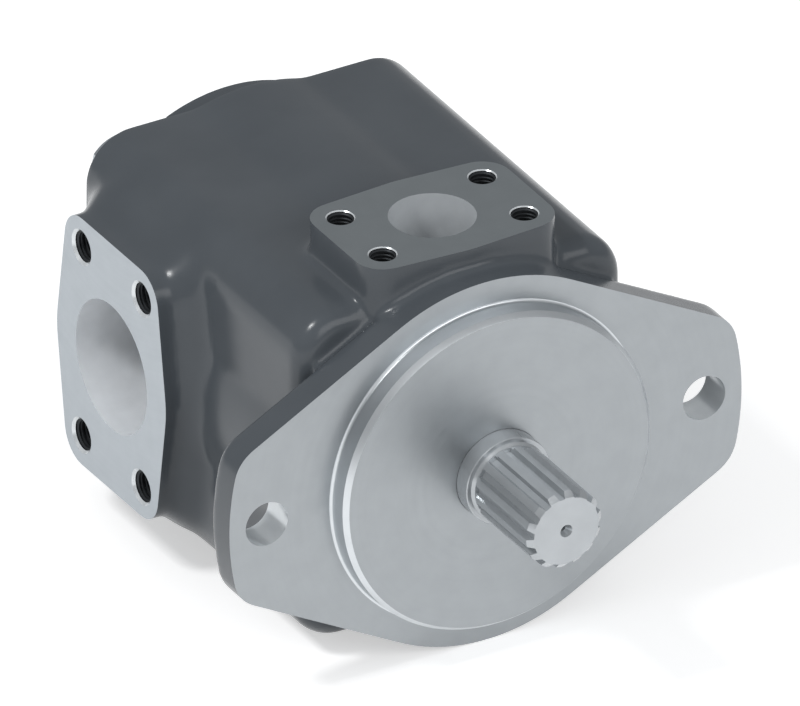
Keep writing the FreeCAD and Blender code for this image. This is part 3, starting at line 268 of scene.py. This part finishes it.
# painted near black: painted shade inside the thread, with a low gleam
tapped_iron_painted_shade = metal("dark_tapped_iron_painted_shade", "#3A3D40", "#303336", 0.8, (0.4, 0.55), metallic=0.7)
finishes = {
    # dark and glossy
    "casting": enamel,
    # cool silver, blurred reflections
    "zinc_steel": metal("bright_zinc_plated_steel", "#C3C8CC", "#B4B9BE", 0.8, (0.25, 0.38)),
    # matt black
    "seal_rubber": metal("nitrile_seal_rubber", "#1D1E1F", "#171819", 0.6, (0.55, 0.7), 0.02, 0.0, 1.52),
    # grey with a soft sheen
    "seal_steel": metal("drawn_steel_sheet", "#A3A7AA", "#999DA0", 0.8, (0.3, 0.42)),
    # dark grey with an oily sheen
    "spring_steel": metal("oiled_spring_steel", "#6E7073", "#606265", 0.6, (0.3, 0.42)),
    # bright and even
    "bearing_steel": metal("ground_bearing_steel", "#C9CCCE", "#C0C3C5", 0.4, (0.12, 0.2)),
    # near mirror
    "ball_steel": metal("polished_bearing_balls", "#D2D4D6", "#CBCDCF", 0.3, (0.04, 0.08), 0.001),
    # light grey, blurred reflections
    "cage_steel": metal("pressed_cage_steel", "#B0B2B3", "#A2A4A5", 0.8, (0.3, 0.42)),
    # warm yellow, satin
    "plate_bronze": metal("lapped_bronze", "#B58A52", "#A67C46", 0.6, (0.24, 0.34)),
    # brown and grainy
    "bush_bronze": metal("sintered_bronze", "#A8773F", "#8E6334", 0.5, (0.36, 0.5), 0.02),
    # waxy white
    "backup_plastic": metal("white_ptfe", "#E2E2DC", "#D8D8D2", 1.0, (0.45, 0.55), 0.01, 0.0, 1.35),
    # bright, with a warm tint
    "hardened_steel": metal("ground_hardened_steel", "#B4B3B0", "#A5A4A0", 0.5, (0.16, 0.26)),
    # bright satin
    "vane_steel": metal("lapped_tool_steel", "#BDBDBB", "#B0B0AE", 0.4, (0.12, 0.2)),
    # black with a low gleam
    "black_steel": metal("black_oxide_steel", "#2B2C2E", "#222325", 0.6, (0.32, 0.45)),
    # silver with fine rings and clear glints
    "shaft_steel": machined_iron("turned_shaft_steel", (0, 0, 0), "Y", "#B6BABD", "#B0B4B7",
                                 roughness=(0.2, 0.28), metallic=0.65),
}
slots = [entry["slot"] for entry in frame["record"]["materials"]]
print(len(finishes), "finishes for", len(slots), "slots")

# %% Dress every node
for node in nodes.values():
    slot = node.data.materials[0].name
    node.data.materials[0] = finishes[slot]
print("dressed", len(nodes), "nodes")

# %% [markdown]
# ## The rough casting
# A real casting starts as one lump of iron: soft edges everywhere, and about 3 mm too much
# metal where a face will be cut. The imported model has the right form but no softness. So the two
# castings are copied and joined, thickened where they will be cut, and plugged where they will be
# drilled. A voxel remesh then melts all that into one skin, and smoothing rounds it as sand does.
# Both castings are made as one lump, so that their outsides run on across the joint.


# %% Helpers for selecting and editing
def activate(*things):
    """Selects these objects alone and makes the first one active."""
    bpy.ops.object.select_all(action="DESELECT")
    for thing in things:
        thing.select_set(True)
    bpy.context.view_layer.objects.active = things[0]


def face_table(mesh):
    """The centres, in millimetres, and the normals of a mesh's faces."""
    count = len(mesh.polygons)
    centres, normals = np.empty(count * 3), np.empty(count * 3)
    mesh.polygons.foreach_get("center", centres)
    mesh.polygons.foreach_get("normal", normals)
    return centres.reshape(-1, 3) / MM, normals.reshape(-1, 3)


def choose_faces(thing, test):
    """Enters edit mode with those faces selected whose centre and normal pass the test."""
    activate(thing)
    bpy.ops.object.mode_set(mode="EDIT")
    bpy.ops.mesh.select_mode(type="FACE")
    bpy.ops.mesh.select_all(action="DESELECT")
    bpy.ops.object.mode_set(mode="OBJECT")
    centres, normals = face_table(thing.data)
    chosen = test(centres.T, normals.T)
    thing.data.polygons.foreach_set("select", chosen)
    bpy.ops.object.mode_set(mode="EDIT")
    return int(chosen.sum())


def free_copy(name, new_name):
    """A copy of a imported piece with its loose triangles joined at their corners."""
    copy = bpy.data.objects.new(new_name, nodes[name].data.copy())
    bpy.context.collection.objects.link(copy)
    activate(copy)
    bpy.ops.mesh.customdata_custom_splitnormals_clear()
    bpy.ops.object.mode_set(mode="EDIT")
    bpy.ops.mesh.select_all(action="SELECT")
    bpy.ops.mesh.remove_doubles(threshold=0.002 * MM)
    bpy.ops.object.mode_set(mode="OBJECT")
    return copy


def rod(axis, place, radius, start, end, name="rod", sides=96):
    """A cylinder along an axis from start to end. The place gives its other two coordinates."""
    number = "XYZ".index(axis)
    middle = list(place)
    middle.insert(number, (start + end) / 2)
    turn = {"X": (0, math.radians(90), 0), "Y": (math.radians(90), 0, 0), "Z": (0, 0, 0)}[axis]
    bpy.ops.object.select_all(action="DESELECT")
    bpy.ops.mesh.primitive_cylinder_add(vertices=sides, radius=radius * MM, depth=abs(end - start) * MM,
                                        location=Vector(middle) * MM, rotation=turn)
    made = bpy.context.object
    made.name = name
    bpy.ops.object.transform_apply(location=True, rotation=True, scale=True)
    return made


def block(low, high):
    """A box between two corners."""
    low, high = Vector(low) * MM, Vector(high) * MM
    bpy.ops.object.select_all(action="DESELECT")
    bpy.ops.mesh.primitive_cube_add(size=1, location=(low + high) / 2, scale=high - low)
    made = bpy.context.object
    made.name = "block"
    bpy.ops.object.transform_apply(location=True, rotation=True, scale=True)
    return made


def apply_modifier(thing, kind, **settings):
    """Adds a modifier with its settings and applies it."""
    activate(thing)
    modifier = thing.modifiers.new(kind.lower(), kind)
    for name, value in settings.items():
        setattr(modifier, name, value)
    bpy.ops.object.modifier_apply(modifier=modifier.name)


def cut(thing, *tools, operation="DIFFERENCE"):
    """Takes each tool out of the thing, or adds it, and clears the tool away."""
    for tool in tools:
        apply_modifier(thing, "BOOLEAN", object=tool, operation=operation, solver="MANIFOLD")
        bpy.data.objects.remove(tool)


print("editing helpers ready")

# %% Sizes that the looks need, in millimetres
PARTING = 72.0
SPIGOT_RADIUS, SPIGOT_HEIGHT, ROOT_FILLET = 63.5, 9.5, 1.2
BOLTS = [(x, z) for x in (-51.4, 51.4) for z in (-51.4, 51.4)]
SPOT_RADIUS, SPOT_DEPTH, SCREW_WAY = 13.0, 0.05, 6.05
PRESSURE_PORT, PRESSURE_RADIUS = (0.0, 38.1), 16.0
PRESSURE_SCREWS = [(x, 38.1 + y) for x in (-29.35, 29.35) for y in (-15.1, 15.1)]
PRESSURE_FACE = 82.6
SUCTION_PORT, SUCTION_RADIUS = (125.3, 0.0), 25.4
SUCTION_SCREWS = [(125.3 + y, z) for y in (-21.45, 21.45) for z in (-38.9, 38.9)]
SUCTION_FACE = -82.5
PRESSURE_THREAD, PRESSURE_CHAMFER = 5.0, 0.4
SUCTION_THREAD, SUCTION_CHAMFER = 6.0, 1.0
FLANGE_HOLES, FLANGE_HOLE_RADIUS = [(-90.5, 0.0), (90.5, 0.0)], 8.75
SHAFT_HOLE_RADIUS = 17.6
FAR, SAW_REACH, REAR_REACH = 130, 140, 200
REAR_FACE, BOSS_FACE, BOSS_RADIUS, BOSS_RELIEF = 169.5, 184.5, 63.0, 26.5
CHAMBER_RADIUS, CHAMBER_END = 60.0, 174.5
ALLOWANCE = 3.0
VOXEL = 1.2
SHARP_ANGLE = 28
print("sizes set for", len(BOLTS), "bolts and", len(PRESSURE_SCREWS) + len(SUCTION_SCREWS), "port screws")

# %% Join both castings and leave metal to cut
rough = free_copy("mounting_cap", "rough_casting")
rear_part = free_copy("rear_housing", "rough_rear")
activate(rough, rear_part)
bpy.ops.object.join()
cut_faces = [
    ((0, 0, ALLOWANCE), lambda c, n: (c[2] > PRESSURE_FACE - 0.05) & (n[2] > 0.99)),
    ((-ALLOWANCE, 0, 0), lambda c, n: (c[0] < SUCTION_FACE + 0.05) & (n[0] < -0.99) & (c[1] > PARTING)),
    ((0, -ALLOWANCE, 0), lambda c, n: (np.abs(c[1]) < 0.05) & (n[1] < -0.99)),
    ((0, ALLOWANCE, 0), lambda c, n: (c[1] > REAR_FACE - 0.05) & (n[1] > 0.99)),
]
for push, test in cut_faces:
    count = choose_faces(rough, test)
    bpy.ops.mesh.extrude_region_move(TRANSFORM_OT_translate={"value": Vector(push) * MM})
    bpy.ops.object.mode_set(mode="OBJECT")
    print("thickened", count, "faces by", push)

# %% Plug every hole
# Axis, places, radius, start, end and sides. The rear boss is filled whole, and every other plug is
# a little wider than its hole.
plug_table = [
    ("Y", [(0, 0)], CHAMBER_RADIUS, -6, 165, 96),
    ("Y", [(0, 0)], BOSS_RADIUS, 160, BOSS_FACE + ALLOWANCE, 192),
    ("Y", BOLTS, 8, 30, REAR_FACE + ALLOWANCE, 96),
    ("Y", FLANGE_HOLES, 10.5, -ALLOWANCE, 14, 96),
    ("Z", [PRESSURE_PORT], 18, 40, PRESSURE_FACE + ALLOWANCE, 96),
    ("Z", PRESSURE_SCREWS, 7, 55, PRESSURE_FACE + ALLOWANCE, 96),
    ("X", [SUCTION_PORT], 30, SUCTION_FACE - ALLOWANCE, -40, 96),
    ("X", SUCTION_SCREWS, 8, SUCTION_FACE - ALLOWANCE, -55, 96),
]
plugs = [rod(axis, place, radius, start, end, sides=sides)
         for axis, places, radius, start, end, sides in plug_table for place in places]
activate(rough, *plugs)
bpy.ops.object.join()
print("plugged", len(plugs), "holes")


# %% Melt it into one skin and round it off
def corner_table(mesh):
    """The places of a mesh's corners, in millimetres, as three rows."""
    places = np.empty(len(mesh.vertices) * 3)
    mesh.vertices.foreach_get("co", places)
    return places.reshape(-1, 3).T / MM


def soften(thing, name, weights, repeats):
    """Smooths the skin where the weights say, from 0, not at all, to 1, fully."""
    group = thing.vertex_groups.new(name=name)
    steps = np.round(np.clip(weights, 0, 1) * 10).astype(int)
    for step in range(1, 11):
        group.add([int(number) for number in np.flatnonzero(steps == step)], step / 10, "REPLACE")
    apply_modifier(thing, "SMOOTH", factor=0.5, iterations=repeats, vertex_group=name)


apply_modifier(rough, "REMESH", mode="VOXEL", voxel_size=VOXEL * MM, adaptivity=0.0)
x, y, z = corner_table(rough.data)
soften(rough, "all", np.ones(len(x)), 6)
# The foot of the pressure pad is at z = 71, and that of the suction pad at x = -68. The weights are
# full there and fade to both sides.
foot_of_pressure_pad = np.clip(1.6 - np.abs(z - 71) / 6, 0, 1) * (np.abs(x) < 52) * (y > 2) * (y < 78)
soften(rough, "pressure_pad_foot", foot_of_pressure_pad, 40)
x, y, z = corner_table(rough.data)
foot_of_suction_pad = np.clip(1.5 - np.abs(x + 68) / 8, 0, 1) * (y > 78) * (y < 168) * (np.abs(z) < 66)
soften(rough, "suction_pad_foot", foot_of_suction_pad, 60)
activate(rough)
bpy.ops.object.shade_smooth()
print("soft skin of", len(rough.data.polygons), "faces")

# %% [markdown]
# ## Machining
# Now the lump goes through the workshop as the real one does. Milling cutters take the allowance
# off the faces, which leaves flat faces with crisp edges. The lump is sawn at the joint, the
# spigot is turned, and the holes are drilled and tapped. The hollow inside is the exact one of the
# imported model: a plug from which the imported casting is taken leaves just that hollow.

# %% Mill the faces
# Each cutter starts at a finished face and reaches past the lump.
rear_ring = rod("Y", (0, 0), FAR, REAR_FACE, REAR_REACH, "rear_cutter", 192)
cut(rear_ring, rod("Y", (0, 0), BOSS_RADIUS, 160, 210, "boss", 192))
cut(rough, block((-FAR, -40, -FAR), (FAR, 0, FAR)),
    block((-FAR, 0, PRESSURE_FACE), (FAR, 120, 120)),
    block((-FAR, 60, -80), (SUCTION_FACE, REAR_REACH, 80)),
    rear_ring,
    block((-FAR, BOSS_FACE, -FAR), (FAR, 220, FAR)))
cut(rough, *[rod("Y", place, BOSS_RELIEF, REAR_FACE, REAR_REACH) for place in BOLTS])
cut(rough, *[rod("Y", place, SPOT_RADIUS, REAR_FACE - SPOT_DEPTH, REAR_REACH) for place in BOLTS])
print("milled skin:", len(rough.data.polygons), "faces")

# %% Saw it at the joint
cap = rough
cap.name = "cast_mounting_cap"
activate(cap)
bpy.ops.object.duplicate()
housing = bpy.context.object
housing.name = "cast_rear_housing"
cut(cap, block((-SAW_REACH, PARTING, -SAW_REACH), (SAW_REACH, 220, SAW_REACH)))
cut(housing, block((-SAW_REACH, -60, -SAW_REACH), (SAW_REACH, PARTING, SAW_REACH)))
print("sawn into cap", len(cap.data.polygons), "and housing", len(housing.data.polygons), "faces")


# %% Turn the spigot, and drill and tap the holes
def lathe(profile, name, sides):
    """A solid turned about Z: each (radius, height) of the profile is one ring, from the bottom up."""
    radius, height = profile[0]
    bpy.ops.object.select_all(action="DESELECT")
    bpy.ops.mesh.primitive_circle_add(vertices=sides, radius=radius * MM, fill_type="NGON",
                                      location=(0, 0, height * MM))
    made = bpy.context.object
    made.name = name
    bpy.ops.object.transform_apply(location=True, rotation=True, scale=True)
    bpy.ops.object.mode_set(mode="EDIT")
    bpy.ops.mesh.select_all(action="SELECT")
    for next_radius, next_height in profile[1:]:
        step = (0, 0, (next_height - height) * MM)
        bpy.ops.mesh.extrude_region_move(TRANSFORM_OT_translate={"value": step})
        if next_radius != radius:
            share = next_radius / radius
            bpy.ops.transform.resize(value=(share, share, 1), center_override=(0, 0, next_height * MM))
        radius, height = next_radius, next_height
    bpy.ops.mesh.select_all(action="SELECT")
    bpy.ops.mesh.normals_make_consistent(inside=False)
    bpy.ops.object.mode_set(mode="OBJECT")
    return made


def put(thing, axis, place):
    """Stands a turned solid up along an axis, pointing to its negative end for X and Y, at a place."""
    turn = {"X": (0, math.radians(-90), 0), "Y": (math.radians(90), 0, 0), "Z": (0, 0, 0)}[axis]
    thing.data.transform(Euler(turn).to_matrix().to_4x4())
    place = list(place)
    place.insert("XYZ".index(axis), 0)
    thing.data.transform(Matrix.Translation(Vector(place) * MM))
    return thing


def tap(face, depth, radius, pitch, chamfer):
    """A tap with its drill's point: rings of thread from the hole's bottom to its chamfered mouth."""
    core = radius - 0.4 * pitch
    profile = [(0.01, face - depth - core * 0.6), (core, face - depth)]
    height = face - depth + pitch
    while height < face - chamfer - 0.9 * pitch:
        profile += [(core, height - pitch * 0.3), (radius, height), (core, height + pitch * 0.3)]
        height += pitch
    profile += [(core, face - chamfer - 0.6 * pitch), (radius, face - chamfer - 0.3 * pitch)]
    profile += [(radius, face - chamfer), (radius + chamfer, face), (radius + chamfer, face + 2)]
    return lathe(profile, "tap", 48)


fillet = []
for degrees in range(0, 91, 15):
    angle = math.radians(degrees)
    out, rise = 1 - math.sin(angle), 1 - math.cos(angle)
    fillet.append((SPIGOT_RADIUS + ROOT_FILLET * out, ROOT_FILLET * rise))
lead = [(SPIGOT_RADIUS, 7.5), (62, 9.3), (61.8, SPIGOT_HEIGHT)]
spigot = lathe([(SPIGOT_RADIUS + ROOT_FILLET, -3)] + fillet + lead, "spigot", 256)
cut(cap, put(spigot, "Y", (0, 0)), operation="UNION")
for place in FLANGE_HOLES:
    cut(cap, rod("Y", place, FLANGE_HOLE_RADIUS, -20, 40))
cut(cap, rod("Z", PRESSURE_PORT, PRESSURE_RADIUS, 50, 100))
for place in PRESSURE_SCREWS:
    thread = tap(PRESSURE_FACE, depth=19, radius=PRESSURE_THREAD, pitch=1.5, chamfer=PRESSURE_CHAMFER)
    cut(cap, put(thread, "Z", place))
for place in BOLTS:
    cut(cap, rod("Y", place, SCREW_WAY, 34.5, 80, sides=48))
cut(housing, rod("X", SUCTION_PORT, SUCTION_RADIUS, -100, -50, sides=128))
for place in SUCTION_SCREWS:
    thread = tap(-SUCTION_FACE, depth=22, radius=SUCTION_THREAD, pitch=1.75, chamfer=SUCTION_CHAMFER)
    cut(housing, put(thread, "X", place))
for place in BOLTS:
    cut(housing, rod("Y", place, SCREW_WAY + 0.7, 60, REAR_REACH, sides=48))
print("drilled cap", len(cap.data.polygons), "and housing", len(housing.data.polygons))

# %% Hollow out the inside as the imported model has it
cap_core = rod("Y", (0, 0), 62, -6.4, 76, "cap_core", 192)
cut(cap_core, free_copy("mounting_cap", "cap_metal"))
cut(cap, rod("Y", (0, 0), SHAFT_HOLE_RADIUS, -20, -5, "shaft_hole", 128))
housing_core = rod("Y", (0, 0), CHAMBER_RADIUS, 66, CHAMBER_END, "housing_core", 192)
cut(housing_core, free_copy("rear_housing", "housing_metal"))
cut(cap, cap_core)
cut(housing, housing_core)
print("hollowed cap", len(cap.data.polygons), "and housing", len(housing.data.polygons))

# %% [markdown]
# ## Which faces of the castings are bare
# A casting is enamelled first and then cut, so the cut faces are bare: the mounting face, the
# spigot, both pads, the spot faces under the screw heads, and all bores. The rear face was only
# cut here to make it flat, so it keeps its enamel. Each face of the mesh is sorted by where it lies
# and where it looks.


# %% Sort the faces of a casting
TOUCH = 0.01


def paint(mesh, materials, choices):
    """Gives the faces that a choice picks out the material of the same number, from 1."""
    mesh.materials.clear()
    for material in materials:
        mesh.materials.append(material)
    index = np.zeros(len(mesh.polygons), dtype=np.int32)
    for number, chosen in enumerate(choices, start=1):
        index[chosen] = number
    mesh.polygons.foreach_set("material_index", index)
    mesh.update()


def within(first, second, places, radius):
    """Which faces lie inside one of some round holes, by two of their coordinates."""
    return np.logical_or.reduce([np.hypot(first - a, second - b) < radius for a, b in places])


def bare_faces(mesh):
    """One list of faces for each bare finish, in the order of the finishes below."""
    (x, y, z), (nx, ny, nz) = (table.T for table in face_table(mesh))
    radius = np.hypot(x, z)
    inward = nx * x + nz * z < -0.05 * radius
    bore = (radius < CHAMBER_RADIUS) & (y < CHAMBER_END - 0.1) & (inward | (np.abs(ny) > 0.9))
    bore &= (y > 0.1 - SPIGOT_HEIGHT) & ((y < REAR_FACE - 0.1) | (ny < 0.9))
    front = (y < TOUCH) & ((ny < -0.7) | (radius < SPIGOT_RADIUS + 0.5))
    spigot = (y < -TOUCH) & (y > TOUCH - SPIGOT_HEIGHT) & (radius > 61)
    joint = (np.abs(y - PARTING) < TOUCH) & (np.abs(ny) > 0.9)
    top = (np.abs(z - PRESSURE_FACE) < TOUCH) & (nz > 0.99)
    side = (np.abs(x - SUCTION_FACE) < TOUCH) & (nx < -0.99)
    rear = (np.abs(y - REAR_FACE + SPOT_DEPTH) < TOUCH) & (ny > 0.9)
    pressure_bore = within(x, y, [PRESSURE_PORT], PRESSURE_RADIUS + 0.1) & (z > 50) & ~top
    suction_bore = within(y, z, [SUCTION_PORT], SUCTION_RADIUS + 0.1) & (x < -50) & ~side
    drilled = within(x, z, FLANGE_HOLES, FLANGE_HOLE_RADIUS + 0.05) & (y > 0) & (y < 14.1)
    pressure_mouth = z > PRESSURE_FACE - PRESSURE_CHAMFER
    suction_mouth = x < SUCTION_FACE + SUCTION_CHAMFER
    mouth = within(x, y, PRESSURE_SCREWS, PRESSURE_THREAD + PRESSURE_CHAMFER + 0.2) & pressure_mouth
    mouth |= within(y, z, SUCTION_SCREWS, SUCTION_THREAD + SUCTION_CHAMFER + 0.2) & suction_mouth
    mouth &= ~(top | side)
    tapped = within(x, y, PRESSURE_SCREWS, PRESSURE_THREAD + 0.1) & (z > 58) & ~pressure_mouth
    tapped |= within(y, z, SUCTION_SCREWS, SUCTION_THREAD + 0.1) & (x < -55) & ~suction_mouth
    # A screw's way is known by walls that look at its own axis, so no skin beside it is taken.
    screw_way = np.zeros(len(x), dtype=bool)
    for a, b in BOLTS:
        screw_way |= (np.hypot(x - a, z - b) < 6.8) & (nx * (x - a) + nz * (z - b) < -3) & (y > 33)
    return [bore | front | joint | rear, spigot, top, side, drilled | mouth | screw_way,
            pressure_bore, suction_bore, tapped]


# The drilled, reamed and bored walls are painted light, and the tapped threads are painted shade.
casting_finishes = [enamel, turned_iron, spigot_iron_painted_lighter, milled_top, milled_side_painted_lighter, drilled_iron_painted_light, reamed_iron_painted_light,
                    bored_iron_painted_light, tapped_iron_painted_shade]
for piece, name in ((cap, "mounting_cap"), (housing, "rear_housing")):
    paint(piece.data, casting_finishes, bare_faces(piece.data))
    activate(piece)
    bpy.ops.object.shade_smooth_by_angle(angle=math.radians(SHARP_ANGLE))
    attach(piece, "casing")
    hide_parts(name)
    print(piece.name, "has", len(piece.data.polygons), "faces")

# %% [markdown]
# ## Floor and light
# The pump stands in a plain studio: a pale floor that runs out of the picture, a soft sky and two
# lamps. The small one, high on the left, sets the glints on the enamel's corners. The wide one in
# front lights the flange evenly. The floor adds a little light of its own where the camera, a
# reflection or glass sees it, so that the background is white while the pump's shadow stays.

# %% Floor
FLOOR_WIDTH = 8
FLOOR_GLOW = 0.5
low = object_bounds()[0]
bpy.ops.mesh.primitive_plane_add(size=FLOOR_WIDTH, location=(0, 0, low[2]))
floor = bpy.context.object
floor.name = "studio_floor"


def studio_paper():
    """White paper, with a glow that only the camera, reflections and glass see."""
    material = new_material("white_studio_paper")
    place = add(material, "TexCoord").outputs["Object"]
    colour = varied(material, place, "#F0F0F0", "#F3F3F3", 300)
    paper = add(material, "BsdfDiffuse", links={"Color": colour})
    path = add(material, "LightPath")
    seen = path.outputs["Is Camera Ray"]
    for name in ("Is Glossy Ray", "Is Transmission Ray"):
        seen = add(material, "Math", settings={"operation": "MAXIMUM"},
                   links={0: seen, 1: path.outputs[name]}).outputs[0]
    strength = add(material, "Math", settings={"operation": "MULTIPLY"}, values={1: FLOOR_GLOW},
                   links={0: seen})
    glow = add(material, "Emission", links={"Strength": strength.outputs[0]})
    return close(material, add(material, "AddShader", links={0: paper.outputs[0], 1: glow.outputs[0]}))


floor.data.materials.append(studio_paper())
print("floor at", round(low[2] / MM, 2), "mm")


# %% Lamps and sky
PUMP_MIDDLE = Vector((0, 0.08, 0))


def softbox(name, place, width, height, watts):
    """A rectangular lamp that looks at the middle of the pump."""
    bpy.ops.object.light_add(type="AREA", location=place)
    lamp = bpy.context.object
    lamp.name = name
    lamp.data.shape = "RECTANGLE"
    lamp.data.size = width
    lamp.data.size_y = height
    lamp.data.energy = watts
    lamp.rotation_euler = (PUMP_MIDDLE - Vector(place)).to_track_quat("-Z", "Y").to_euler()


softbox("lamp_left", (-1.0, 0.1, 1.3), width=0.3, height=0.3, watts=11)
softbox("lamp_front", (0.2, -1.5, 1.0), width=2.0, height=0.9, watts=13)
world = bpy.data.worlds.new("studio_sky")
bpy.context.scene.world = world
world.use_nodes = True
sky = world.node_tree.nodes["Background"]
sky.inputs["Color"].default_value = linear("#C8CACC")
sky.inputs["Strength"].default_value = 0.65
bpy.context.scene.view_settings.view_transform = "Standard"
print("light ready")
